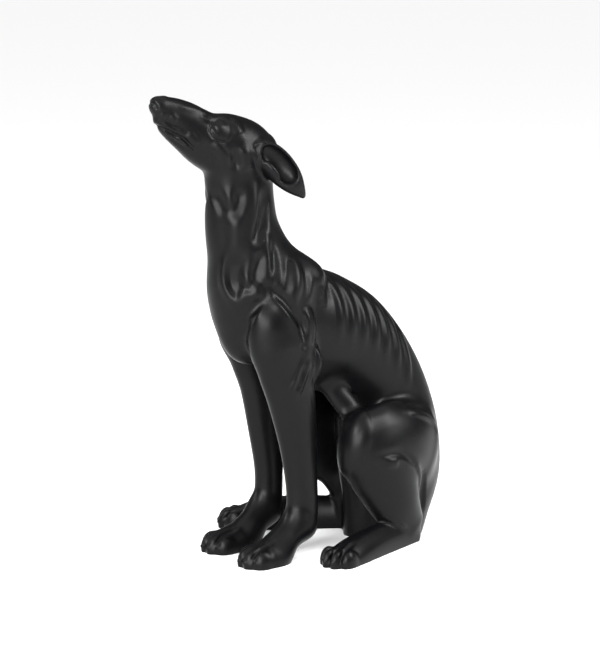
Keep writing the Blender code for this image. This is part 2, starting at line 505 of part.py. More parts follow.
def carve_face(clay, side):
    def line(points, width, height, fade=True):
        clay.line(mirrored(points, side), width, height, fade)

    # Mouth with an upper lip that hangs over it and a thin lower lip.
    line([(0.011, -0.440, 0.937), (0.016, -0.424, 0.929), (0.021, -0.409, 0.921), (0.024, -0.391, 0.912)],
         0.008, 0.003)
    line([(0.000, -0.441, 0.934), (0.007, -0.438, 0.929), (0.012, -0.429, 0.924), (0.014, -0.416, 0.917),
          (0.016, -0.403, 0.910), (0.018, -0.390, 0.903), (0.021, -0.380, 0.894), (0.024, -0.371, 0.885),
          (0.027, -0.362, 0.877)], 0.0065, -0.010)
    line([(0.010, -0.420, 0.908), (0.014, -0.404, 0.897), (0.017, -0.387, 0.886), (0.020, -0.375, 0.879)],
         0.005, -0.003)
    line([(0.006, -0.435, 0.925), (0.011, -0.424, 0.917), (0.014, -0.411, 0.910), (0.019, -0.397, 0.900),
          (0.022, -0.385, 0.890), (0.022, -0.376, 0.884)], 0.005, 0.003)
    # Whisker pads, edge of the nose bridge and folds behind the mouth.
    line([(0.015, -0.440, 0.959), (0.016, -0.430, 0.947)], 0.010, 0.005)
    line([(0.019, -0.421, 0.953), (0.021, -0.406, 0.938)], 0.011, 0.0045)
    line([(0.017, -0.406, 0.972), (0.018, -0.378, 0.965), (0.017, -0.350, 0.959), (0.016, -0.328, 0.952)],
         0.012, 0.002)
    line([(0.024, -0.386, 0.916), (0.027, -0.374, 0.902), (0.028, -0.362, 0.886)], 0.014, 0.006)
    line([(0.031, -0.357, 0.908), (0.033, -0.351, 0.895), (0.033, -0.347, 0.885)], 0.008, 0.003)
    # Cheekbone, cheek, temple and the hollows between them.
    line([(0.040, -0.332, 0.879), (0.036, -0.325, 0.861), (0.033, -0.317, 0.844)], 0.014, -0.006)
    line([(0.039, -0.336, 0.893), (0.043, -0.324, 0.885), (0.046, -0.314, 0.872), (0.046, -0.304, 0.855),
          (0.042, -0.295, 0.836)], 0.019, 0.007)
    line([(0.051, -0.288, 0.880), (0.048, -0.281, 0.856), (0.047, -0.278, 0.835)], 0.015, -0.006)
    line([(0.054, -0.262, 0.890), (0.058, -0.263, 0.865), (0.056, -0.259, 0.845), (0.053, -0.257, 0.828)],
         0.023, 0.009)
    line([(0.033, -0.273, 0.934), (0.044, -0.273, 0.920), (0.049, -0.269, 0.904)], 0.019, 0.005)
    low, high = sorted((side * 0.005, side * 0.090))
    clay.soften((low, -0.345, 0.79), (high, -0.235, 0.910), 0.0036)
    # Closed oval eye with a crease in front and below, under a raised brow and lid.
    clay.ball((side * 0.0270, -0.310, 0.9155), (0.70 * EYE_RADIUS, 1.05 * EYE_RADIUS, 0.90 * EYE_RADIUS),
              0.010)
    crease = []
    for angle in np.linspace(math.radians(-145), math.radians(95), 11):
        long_way, short_way = math.cos(angle), math.sin(angle)
        crease.append((0.038, -0.311 - 0.0240 * long_way, 0.9165 + 0.0210 * short_way + 0.003 * long_way))
    line(crease, 0.009, -0.0065)
    line([(0.036, -0.327, 0.930), (0.037, -0.328, 0.922)], 0.009, -0.005)
    line([(0.025, -0.348, 0.946), (0.029, -0.334, 0.939), (0.026, -0.322, 0.943), (0.022, -0.306, 0.945),
          (0.025, -0.292, 0.940), (0.033, -0.284, 0.929)], 0.008, 0.0045)
    # Roots of the ear.
    line([(0.054, -0.241, 0.880), (0.056, -0.232, 0.887), (0.061, -0.220, 0.890), (0.052, -0.200, 0.890)],
         0.006, 0.004)
    line([(0.054, -0.244, 0.876), (0.055, -0.241, 0.864), (0.056, -0.234, 0.849), (0.055, -0.229, 0.836)],
         0.006, 0.004)
    # Nostril and the rear edge of the nose.
    line([(0.007, -0.457, 0.979), (0.012, -0.453, 0.975), (0.013, -0.449, 0.967)], 0.0045, -0.006,
         fade=False)


def model_dog(clay):
    model_trunk(clay)
    model_neck_and_head(clay)
    for side in (LEFT, RIGHT):
        model_foreleg(clay, side)
        model_hind_leg(clay, side)
        model_ear(clay, side)
    for side in (LEFT, RIGHT):
        back = 0.0 if side == LEFT else RIGHT_SHOULDER_SET_BACK
        carve_neck(clay, side, back)
        carve_shoulder(clay, side, back)
        low, high = sorted((side * 0.005, side * 0.150))
        clay.soften((low, -0.36, 0.47), (high, -0.08, 0.83), 0.0036)
        carve_ribs(clay, side)
        carve_hind_leg(clay, side)
        carve_face(clay, side)


def skin(clay, share):
    """The clay's surface as a mesh in metres."""
    grid = openvdb.FloatGrid(float(NOWHERE))
    grid.copyFromArray(clay.field)
    points, triangles, quads = grid.convertToPolygons(0.0)
    points = (points * clay.cell + clay.low) * share
    faces = triangles.tolist() + quads[:, ::-1].tolist()
    mesh = bpy.data.meshes.new("greyhound")
    mesh.from_pydata(points.tolist(), [], faces)
    return mesh


def thin_out(mesh, triangles):
    """The mesh with this many triangles, dense where the form bends."""
    draft = bpy.data.objects.new("draft", mesh)
    bpy.context.collection.objects.link(draft)
    modifier = draft.modifiers.new("Decimate", "DECIMATE")
    modifier.ratio = triangles / sum(len(face.vertices) - 2 for face in mesh.polygons)
    thinned = bpy.data.meshes.new_from_object(draft.evaluated_get(bpy.context.evaluated_depsgraph_get()))
    bpy.data.objects.remove(draft)
    return thinned


def stand_on_floor(mesh):
    """Flat soles and seat at z = 0, and the middle of the figure's plan over the origin."""
    bm = bmesh.new()
    bm.from_mesh(mesh)
    everything = bm.verts[:] + bm.edges[:] + bm.faces[:]
    bmesh.ops.bisect_plane(bm, geom=everything, dist=1e-5, plane_co=(0, 0, 0), plane_no=(0, 0, 1),
                           clear_inner=True)
    bmesh.ops.dissolve_degenerate(bm, dist=1e-4, edges=bm.edges[:])
    rim = [edge for edge in bm.edges if edge.is_boundary]
    bmesh.ops.edgeloop_fill(bm, edges=rim)
    bmesh.ops.recalc_face_normals(bm, faces=bm.faces[:])
    for axis in (0, 1):
        places = [vertex.co[axis] for vertex in bm.verts]
        middle = (min(places) + max(places)) / 2
        for vertex in bm.verts:
            vertex.co[axis] -= middle
    bm.to_mesh(mesh)
    bm.free()


def painted_resin():
    material = bpy.data.materials.new("satin black painted resin")
    material.use_nodes = True
    shader = material.node_tree.nodes["Principled BSDF"]
    shader.inputs["Base Color"].default_value = (0.010, 0.010, 0.011, 1.0)
    shader.inputs["Roughness"].default_value = 0.34
    shader.inputs["Metallic"].default_value = 0.0
    return material


for leftover in list(bpy.data.objects):
    bpy.data.objects.remove(leftover, do_unlink=True)

share_m = STATUE_HEIGHT_M / NOSE_TOP
dog_clay = Clay((-0.27, -0.50, -0.03), (0.25, 0.34, 1.02), CELL_M / share_m)
model_dog(dog_clay)
dog_mesh = thin_out(skin(dog_clay, share_m), TRIANGLES)
stand_on_floor(dog_mesh)
dog_mesh.shade_smooth()
dog = bpy.data.objects.new("greyhound", dog_mesh)
dog.data.materials.append(painted_resin())
bpy.context.collection.objects.link(dog)
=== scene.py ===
"""A seated sighthound statue in satin black painted resin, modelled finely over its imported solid.

The dog looks along -Y, its left side is +X and up is +Z. The sculptor's places and sizes are shares of the
figure's height, and names that end in _M or _MM are metres or millimetres.
"""

import json
import math

import bmesh
import bpy
import numpy as np
import openvdb
from mathutils import Euler, Matrix, Vector

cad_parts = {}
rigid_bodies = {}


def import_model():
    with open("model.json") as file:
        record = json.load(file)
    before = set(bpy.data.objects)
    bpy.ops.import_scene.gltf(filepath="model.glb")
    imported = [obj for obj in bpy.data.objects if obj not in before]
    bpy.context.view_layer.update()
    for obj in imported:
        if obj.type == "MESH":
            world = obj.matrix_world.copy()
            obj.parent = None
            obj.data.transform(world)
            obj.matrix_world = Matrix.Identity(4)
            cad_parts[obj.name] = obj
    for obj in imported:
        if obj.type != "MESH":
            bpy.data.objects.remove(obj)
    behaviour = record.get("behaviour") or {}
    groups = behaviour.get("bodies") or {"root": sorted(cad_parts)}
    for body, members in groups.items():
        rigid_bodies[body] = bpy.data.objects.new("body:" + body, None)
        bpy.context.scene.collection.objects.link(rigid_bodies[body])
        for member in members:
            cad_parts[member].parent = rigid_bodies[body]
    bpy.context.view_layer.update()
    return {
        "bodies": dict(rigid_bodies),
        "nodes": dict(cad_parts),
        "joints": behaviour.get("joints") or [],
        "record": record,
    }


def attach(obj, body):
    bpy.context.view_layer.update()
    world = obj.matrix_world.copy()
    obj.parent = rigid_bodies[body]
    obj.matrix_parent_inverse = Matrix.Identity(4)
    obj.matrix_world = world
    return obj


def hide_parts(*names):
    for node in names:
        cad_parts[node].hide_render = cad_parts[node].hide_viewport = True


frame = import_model()


# ---------------------------------------------------------------------------------------------------------
# The cast figure.
# One hollow polyresin cast from a mould taken off a clay sculpture, which had the muscles, ribs and toes
# carved in it. It stands on its flat soles and seat.

# Height of the whole statue, floor to the top of the nose.
STATUE_HEIGHT_M = 0.79

# Cell of the sculpture's grid, and the triangles left in the skin.
FINE_CELL_M = 0.0021
SKIN_TRIANGLES = 190000

# Places and sizes as shares, where the top of the nose is at NOSE_TOP.
NOSE_TOP = 0.991
FORELEG_X = 0.074
FORELEG_WIDTH = 0.026
PAW_WIDTH = 0.041
RIGHT_SHOULDER_SET_BACK = 0.020
RIGHT_FORELEG_SET_BACK = 0.014
HIND_FOOT_WIDTH = 0.039
THIGH_X = 0.114
EAR_CUP_LENGTH = 0.066
EAR_CUP_WIDTH = 0.033
EYE_RADIUS = 0.0200
RIB_COUNT = 7
RIB_SPACING = 0.0318
RIB_HEIGHT = 0.0038

LEFT, RIGHT = 1, -1
NOWHERE = np.float32(1.0)


def smooth_rows(rows, steps):
    """Rows on a smooth curve through the given rows, with this many steps in each span."""
    rows = [np.asarray(row, float) for row in rows]
    rows = [2 * rows[0] - rows[1], *rows, 2 * rows[-1] - rows[-2]]
    made = []
    for a, b, c, d in zip(rows, rows[1:], rows[2:], rows[3:]):
        for i in range(steps):
            t = i / steps
            bend = (2 * a - 5 * b + 4 * c - d) * t * t + (3 * b - a - 3 * c + d) * t**3
            made.append(0.5 * (2 * b + (c - a) * t + bend))
    made.append(rows[-2])
    return np.array(made)


def unit(vector):
    vector = np.asarray(vector, float)
    return vector / np.linalg.norm(vector)


def turned(pitch=0.0, yaw=0.0):
    """The three axes of an oval after these turns in degrees, as rows."""
    matrix = Euler((math.radians(pitch), 0.0, math.radians(yaw)), "XYZ").to_matrix()
    return np.array(matrix.transposed())


def soft_least(a, b, blend):
    """The smaller of two distances, rounded where they meet within blend."""
    h = np.maximum(blend - np.abs(a - b), 0.0) / blend
    return np.minimum(a, b) - h * h * (blend * 0.25)


class Clay:
    """A grid of distances to the surface, negative inside, that forms are added to and carved from."""

    def __init__(self, low, high, cell):
        self.low = np.array(low, float)
        self.cell = cell
        self.count = np.ceil((np.array(high) - self.low) / cell).astype(int) + 1
        self.axes = [(self.low[i] + cell * np.arange(self.count[i])).astype(np.float32) for i in range(3)]
        self.field = np.full(self.count, NOWHERE, np.float32)

    def window(self, low, high):
        start = np.clip(np.floor((np.asarray(low) - self.low) / self.cell).astype(int), 0, self.count)
        stop = np.clip(np.ceil((np.asarray(high) - self.low) / self.cell).astype(int) + 1, 0, self.count)
        return tuple(slice(int(i), int(j)) for i, j in zip(start, stop))

    def places(self, window):
        x, y, z = (self.axes[i][window[i]] for i in range(3))
        return x[:, None, None], y[None, :, None], z[None, None, :]

    def press(self, window, shape, blend, cut=False):
        here = self.field[window]
        self.field[window] = -soft_least(-here, shape, blend) if cut else soft_least(here, shape, blend)

    def ball(self, centre, radii, blend, frame=None, cut=False):
        """An oval with its radii along the rows of frame, added or cut with this blend."""
        radii = np.asarray(radii, float)
        frame = np.eye(3) if frame is None else frame
        reach = np.abs(frame.T) @ radii + blend + 2 * self.cell
        window = self.window(np.array(centre) - reach, np.array(centre) + reach)
        x, y, z = (place - np.float32(c) for place, c in zip(self.places(window), centre))
        near, slope = 0.0, 1e-9
        for axis, radius in zip(frame, radii):
            along = x * np.float32(axis[0]) + y * np.float32(axis[1]) + z * np.float32(axis[2])
            q = along / np.float32(radius)
            near = near + q * q
            slope = slope + (q / np.float32(radius)) ** 2
        near = np.sqrt(near)
        self.press(window, (near - 1) * near / np.sqrt(slope), blend, cut)

    def sweep(self, stations, blend, side=(1, 0, 0), steps=4):
        """A limb along stations of x, y, z, half-width towards side and half-depth across it."""
        rows = smooth_rows(stations, steps)
        centre = rows[:, :3]
        run = np.diff(centre, axis=0)
        run = run / np.linalg.norm(run, axis=1)[:, None]
        turn = np.vstack([run[:1], run[:-1] + run[1:], run[-1:]])
        turn = turn / np.linalg.norm(turn, axis=1)[:, None]
        side = np.asarray(side, float)
        across = side - (turn @ side)[:, None] * turn
        across = across / np.linalg.norm(across, axis=1)[:, None]
        grow = rows[:, 3:5].max(1) + blend + 2 * self.cell
        whole = self.window(centre.min(0) - grow.max(), centre.max(0) + grow.max())
        shape = np.full([s.stop - s.start for s in whole], NOWHERE, np.float32)
        last = len(rows) - 2
        for i in range(last + 1):
            g = max(grow[i], grow[i + 1])
            low = np.minimum(centre[i], centre[i + 1]) - g
            high = np.maximum(centre[i], centre[i + 1]) + g
            window = self.window(low, high)
            if any(w.stop <= w.start for w in window):
                continue
            part = tuple(slice(w.start - s.start, w.stop - s.start) for w, s in zip(window, whole))
            ends = (i == 0, i == last)
            link = self.link(window, rows[i : i + 2], turn[i : i + 2], across[i : i + 2], ends)
            shape[part] = np.minimum(shape[part], link)
        self.press(whole, shape, blend)

    def link(self, window, rows, turn, across, ends):
        """Distance to the piece between two stations, whose end planes halve the bends."""
        x, y, z = self.places(window)
        f = np.float32

        def beyond(row, axis):
            level = (x - f(row[0])) * f(axis[0]) + (y - f(row[1])) * f(axis[1])
            return level + (z - f(row[2])) * f(axis[2])

        def mixed(a, b):
            return f(a) + share * f(b - a)

        start = beyond(rows[0], turn[0])
        stop = beyond(rows[1], turn[1])
        before, after = start < 0, stop > 0
        share = start / np.maximum(start - stop, f(1e-5))
        share = np.clip(np.where(before, f(0), np.where(after, f(1), share)), 0, 1)
        offset = [p - mixed(rows[0][i], rows[1][i]) for i, p in enumerate((x, y, z))]
        upright = [np.cross(turn[0], across[0]), np.cross(turn[1], across[1])]
        width = mixed(rows[0][3], rows[1][3])
        depth = mixed(rows[0][4], rows[1][4])
        tip = np.minimum(width, depth)
        a = sum(offset[i] * mixed(across[0][i], across[1][i]) for i in range(3)) / width
        b = sum(offset[i] * mixed(upright[0][i], upright[1][i]) for i in range(3)) / depth
        c = np.where(before, start, np.where(after, stop, f(0))) / tip
        near = np.sqrt(a * a + b * b + c * c)
        slope = np.sqrt((a / width) ** 2 + (b / depth) ** 2 + (c / tip) ** 2) + f(1e-6)
        distance = (near - 1) * near / slope
        if not ends[0]:
            distance = np.where(before, NOWHERE, distance)
        if not ends[1]:
            distance = np.where(after, NOWHERE, distance)
        return distance

    def read(self, points):
        """The field at any points, between the cells' corners."""
        place = np.clip((points - self.low) / self.cell, 0, self.count - 1.001)
        base = place.astype(int)
        part = place - base
        value = 0.0
        for corner in np.ndindex(2, 2, 2):
            weight = np.where(corner, part, 1 - part).prod(1)
            i, j, k = (base + corner).T
            value = value + weight * self.field[i, j, k]
        return value

    def on_surface(self, points):
        """The points moved onto the surface along the field's slope."""
        points = np.array(points, float)
        steps = self.cell * np.eye(3)
        for _ in range(6):
            rise = [self.read(points + step) - self.read(points - step) for step in steps]
            slope = np.stack(rise, 1) / (2 * self.cell)
            steep = np.maximum((slope * slope).sum(1), 0.05)
            points = points - (self.read(points) / steep)[:, None] * slope
        return points

    def line(self, points, width, height, fade=True):
        """A soft ridge, or a groove where height is negative, along a line on the surface."""
        rows = smooth_rows(self.on_surface(points), 6)
        width = max(width, 1.5 * self.cell)
        grow = width + 2 * self.cell
        whole = self.window(rows.min(0) - grow, rows.max(0) + grow)
        nearest = np.full([s.stop - s.start for s in whole], NOWHERE, np.float32)
        along = np.zeros_like(nearest)
        for i, (a, b) in enumerate(zip(rows, rows[1:])):
            window = self.window(np.minimum(a, b) - grow, np.maximum(a, b) + grow)
            part = tuple(slice(w.start - s.start, w.stop - s.start) for w, s in zip(window, whole))
            x, y, z = (p - np.float32(c) for p, c in zip(self.places(window), a))
            run = (b - a).astype(np.float32)
            length = max(float(run @ run), 1e-12)
            share = np.clip((x * run[0] + y * run[1] + z * run[2]) / np.float32(length), 0, 1)
            aside = (x - share * run[0]) ** 2 + (y - share * run[1]) ** 2 + (z - share * run[2]) ** 2
            distance = np.sqrt(aside)
            closer = distance < nearest[part]
            nearest[part] = np.where(closer, distance, nearest[part])
            along[part] = np.where(closer, (i + share) / (len(rows) - 1), along[part])
        t = np.clip(nearest / np.float32(width), 0, 1)
        shape = (1 - t * t) ** 2
        if fade:
            # Down to 15 per cent over three tenths of the line at each end.
            end = np.clip(np.minimum(along, 1 - along) / 0.3, 0, 1)
            shape = shape * (0.15 + 0.85 * end * end * (3 - 2 * end))
        self.field[whole] -= np.float32(height) * shape

    def soften(self, low, high, reach):
        """Rub the surface inside this box smooth, so that edges closer than reach run together."""
        window = self.window(low, high)
        rubbed = self.field[window].copy()
        for _ in range(max(1, round(2 * (reach / self.cell) ** 2))):
            for axis in range(3):
                inner = [slice(None)] * 3
                before, after = list(inner), list(inner)
                inner[axis], before[axis], after[axis] = slice(1, -1), slice(None, -2), slice(2, None)
                both = rubbed[tuple(before)] + rubbed[tuple(after)]
                rubbed[tuple(inner)] = (both + 2 * rubbed[tuple(inner)]) / 4
        margin = np.float32(0.02)
        share = np.float32(1)
        for place, a, b in zip(self.places(window), low, high):
            edge = np.minimum(place - np.float32(a), np.float32(b) - place)
            share = share * np.clip(edge / margin, 0, 1)
        self.field[window] += share * (rubbed - self.field[window])


def midline(stations):
    """Stations of y, z, half-width and half-depth, put on the middle plane."""
    return [(0.0, *station) for station in stations]


def model_trunk(clay):
    # Deep chest, arched back and sloping rump down to the seat.
    trunk = [
        (-0.227, 0.592, 0.067, 0.087),
        (-0.165, 0.548, 0.080, 0.114),
        (-0.102, 0.507, 0.087, 0.115),
        (-0.038, 0.477, 0.090, 0.119),
        (0.032, 0.444, 0.087, 0.111),
        (0.095, 0.381, 0.083, 0.105),
        (0.141, 0.306, 0.083, 0.103),
        (0.163, 0.225, 0.093, 0.106),
        (0.166, 0.140, 0.103, 0.104),
        (0.147, 0.060, 0.102, 0.092),
        (0.131, -0.020, 0.094, 0.080),
    ]
    clay.sweep(midline(trunk), 0.03)
    clay.ball((0, -0.215, 0.505), (0.048, 0.075, 0.090), 0.03)
    clay.ball((0, -0.058, 0.388), (0.052, 0.075, 0.048), 0.025)
    # The belly's end comes down to the floor between the hind legs.
    clay.sweep(midline([(0.070, 0.260, 0.045, 0.055), (0.062, 0.170, 0.034, 0.042),
                        (0.076, 0.090, 0.030, 0.042), (0.082, -0.020, 0.031, 0.042)]), 0.02)
    for side in (LEFT, RIGHT):
        # Fold of skin from the belly to the front of the thigh.
        clay.sweep([(side * 0.038, -0.036, 0.360, 0.015, 0.026),
                    (side * 0.050, -0.019, 0.330, 0.013, 0.026),
                    (side * 0.064, 0.001, 0.299, 0.013, 0.027),
                    (side * 0.086, 0.014, 0.260, 0.015, 0.028)], 0.02)


def model_neck_and_head(clay):
    clay.sweep(midline([(-0.185, 0.560, 0.080, 0.110), (-0.214, 0.635, 0.068, 0.096),
                        (-0.234, 0.700, 0.060, 0.084), (-0.240, 0.760, 0.055, 0.079),
                        (-0.240, 0.820, 0.051, 0.075)]), 0.04)
    # Skull and the long narrow muzzle, raised above level.
    clay.sweep(midline([(-0.200, 0.852, 0.046, 0.057), (-0.235, 0.870, 0.054, 0.064),
                        (-0.285, 0.884, 0.051, 0.065), (-0.325, 0.9005, 0.040, 0.054),
                        (-0.352, 0.918, 0.032, 0.048), (-0.376, 0.935, 0.026, 0.043),
                        (-0.405, 0.953, 0.0215, 0.035), (-0.429, 0.968, 0.0185, 0.0245)]), 0.02)
    clay.ball((0, -0.4400, 0.9715), (0.0165, 0.0170, 0.0190), 0.008)
    # Lower jaw.
    clay.sweep(midline([(-0.275, 0.842, 0.040, 0.034), (-0.337, 0.868, 0.030, 0.027),
                        (-0.378, 0.896, 0.0215, 0.022), (-0.413, 0.923, 0.0175, 0.0185),
                        (-0.434, 0.943, 0.014, 0.0135)]), 0.008)
    clay.ball((0, -0.262, 0.815), (0.040, 0.050, 0.050), 0.02)


def model_ear(clay, side):
    """A folded ear that lies back: an open cup at its root and a flat pointed tip."""
    root = np.array((side * 0.058, -0.222, 0.882))
    end = np.array((side * 0.088, -0.154, 0.794))
    axis = unit(end - root)
    outward = np.array((side * 1.0, -0.35, 0.0))
    outward = unit(outward - outward @ axis * axis)
    across = np.cross(axis, outward)
    frame = np.array([axis, across, outward])
    middle = (root + end) / 2
    clay.ball(middle - (side * 0.006, 0, 0), (EAR_CUP_LENGTH, EAR_CUP_WIDTH, 0.024), 0.012, frame)
    clay.sweep([(side * 0.082, -0.178, 0.822, 0.026, 0.014), (side * 0.085, -0.158, 0.797, 0.022, 0.010),
                (side * 0.085, -0.142, 0.779, 0.013, 0.007), (side * 0.084, -0.134, 0.768, 0.006, 0.005)],
               0.008, side=across)
    hollow = (0.76 * EAR_CUP_LENGTH, 0.80 * EAR_CUP_WIDTH, 0.022)
    clay.ball(middle + (side * 0.007, -0.006, 0.006), hollow, 0.003, frame, cut=True)
    # Lobe of skin that stands inside the cup, at its front edge.
    clay.ball(middle + (side * -0.002, -0.018, -0.006), (0.026, 0.009, 0.012), 0.004, frame)


def model_toes(clay, tip, run, across, width, tall):
    """Four blunt toes with short claws, parted by grooves that start on top of the paw."""
    frame = turned(yaw=math.degrees(math.atan2(run[0], -run[1])))
    for place in (-0.74, -0.27, 0.27, 0.74):
        centre = tip - run * (0.025 + 0.032 * place * place) + across * place * width
        clay.ball((*centre, 0.009), (0.33 * width, 0.023, tall), 0.006, frame)
        claw = centre + run * 0.018
        clay.ball((*claw, 0.014), (0.10 * width, 0.008, 0.006), 0.002, frame)
    for place in (-0.50, 0.0, 0.50):
        rear = tip - run * (0.066 + 0.020 * abs(place)) + across * place * 0.80 * width
        front = tip - run * (0.006 + 0.030 * place * place) + across * place * width
        clay.line([(*rear, 0.045), (*(0.5 * rear + 0.5 * front), 0.038), (*front, 0.016)], 0.008, -0.006)


def model_foreleg(clay, side):
    back = 0.0 if side == LEFT else RIGHT_FORELEG_SET_BACK
    # Shoulder blade with its top beside the withers.
    clay.sweep([(side * 0.040, -0.105, 0.600, 0.030, 0.036), (side * 0.060, -0.165, 0.555, 0.035, 0.050),
                (side * 0.066, -0.210, 0.505, 0.034, 0.050)], 0.03)
    clay.ball((side * 0.050, -0.102 + back, 0.596), (0.026, 0.034, 0.026), 0.02)
    # Upper arm, the muscle behind it and the elbow.
    clay.ball((side * 0.072, -0.198 + 1.4 * back, 0.482), (0.041, 0.066, 0.078), 0.02)
    clay.ball((side * 0.070, -0.150 + back, 0.455), (0.034, 0.045, 0.060), 0.02)
    clay.ball((side * 0.088, -0.134 + back, 0.502), (0.021, 0.022, 0.046), 0.006, turned(pitch=8))
    clay.ball((side * 0.088, -0.116 + back, 0.418), (0.018, 0.020, 0.034), 0.012, turned(pitch=-12))
    x = side * FORELEG_X
    wide = FORELEG_WIDTH
    high = 2.2 * back
    lean = 0.004 if side == LEFT else 0.0
    clay.sweep([(x, -0.188 + high, 0.460, 1.31 * wide, 0.064),
                (x, -0.176 + high, 0.415, 1.38 * wide, 0.066),
                (x, -0.161 + high, 0.350, 1.31 * wide, 0.057),
                (x, -0.1445 + 1.6 * back, 0.255, 1.08 * wide, 0.0455),
                (x, -0.131 + back - lean, 0.165, 0.98 * wide, 0.034 + lean),
                (x, -0.129 + 0.8 * back - lean, 0.105, 0.98 * wide, 0.0335 + lean),
                (x, -0.136 + 0.8 * back, 0.065, 1.12 * wide, 0.036)], 0.02)
    # Paw with a sloping top and a blunt front of four toes.
    paw_x = side * (FORELEG_X + (0.0045 if side == LEFT else -0.011))
    front = -0.298 if side == LEFT else -0.297
    clay.sweep([(x, -0.150 + back, 0.072, 0.70 * PAW_WIDTH, 0.030),
                (paw_x, -0.184 + back, 0.044, 0.82 * PAW_WIDTH, 0.034),
                (paw_x, -0.217 + back, 0.013, 1.04 * PAW_WIDTH, 0.043),
                (paw_x, front + 0.045, 0.008, 1.02 * PAW_WIDTH, 0.036)], 0.025)
    forward, sideways = np.array((0.0, -1.0)), np.array((1.0, 0.0))
    model_toes(clay, np.array((paw_x, front)), forward, sideways, PAW_WIDTH, 0.028)


def model_hind_leg(clay, side):
    """Folded hind leg: thigh, lower leg and a long flat foot, turned out more on the right."""
    if side == LEFT:
        heel, toe = np.array((0.108, 0.129)), np.array((0.175, -0.106))
        shank = [(0.118, 0.022, 0.215, 0.046, 0.084), (0.124, 0.049, 0.160, 0.042, 0.079),
                 (0.124, 0.081, 0.095, 0.035, 0.062), (0.112, 0.119, 0.045, 0.030, 0.042)]
    else:
        heel, toe = np.array((-0.064, 0.105)), np.array((-0.206, -0.110))
        shank = [(-0.116, 0.025, 0.215, 0.046, 0.080), (-0.104, 0.085, 0.145, 0.040, 0.066),
                 (-0.084, 0.101, 0.092, 0.034, 0.048), (-0.066, 0.100, 0.045, 0.026, 0.036)]
    knee_x = side * (THIGH_X + 0.004)
    clay.sweep([(side * (THIGH_X - 0.034), 0.160, 0.190, 0.052, 0.090),
                (side * (THIGH_X - 0.012), 0.100, 0.212, 0.056, 0.098),
                (side * THIGH_X, 0.032, 0.226, 0.051, 0.094),
                (knee_x, -0.019, 0.239, 0.043, 0.072)], 0.03, steps=8)
    clay.sweep(shank, 0.018, steps=8)
    run = unit(toe - heel)
    across = np.array((-run[1], run[0]))
    foot = []
    tall = 1.04 if side == LEFT else 1.28
    for along, height, width, depth in ((0.0, 0.016, 0.66, 0.038), (0.25, 0.014, 0.74, 0.043),
                                        (0.55, 0.012, 0.86, 0.045), (0.85, 0.006, 1.0, 0.041),
                                        (0.97, 0.004, 1.02, 0.034)):
        foot.append((*(heel + (toe - heel) * along), height, width * HIND_FOOT_WIDTH, tall * depth))
    clay.sweep(foot, 0.012, side=(*across, 0))
    model_toes(clay, toe + run * 0.048, run, across, HIND_FOOT_WIDTH, 0.026 * tall)


def mirrored(points, side, back=0.0):
    return [(side * x, y + back, z) for x, y, z in points]


def soften_side(clay, side, low, high, reach):
    """Rub one side smooth in the box between these places, given for the left."""
    near, far = sorted((side * low[0], side * high[0]))
    clay.soften((near, *low[1:]), (far, *high[1:]), reach)


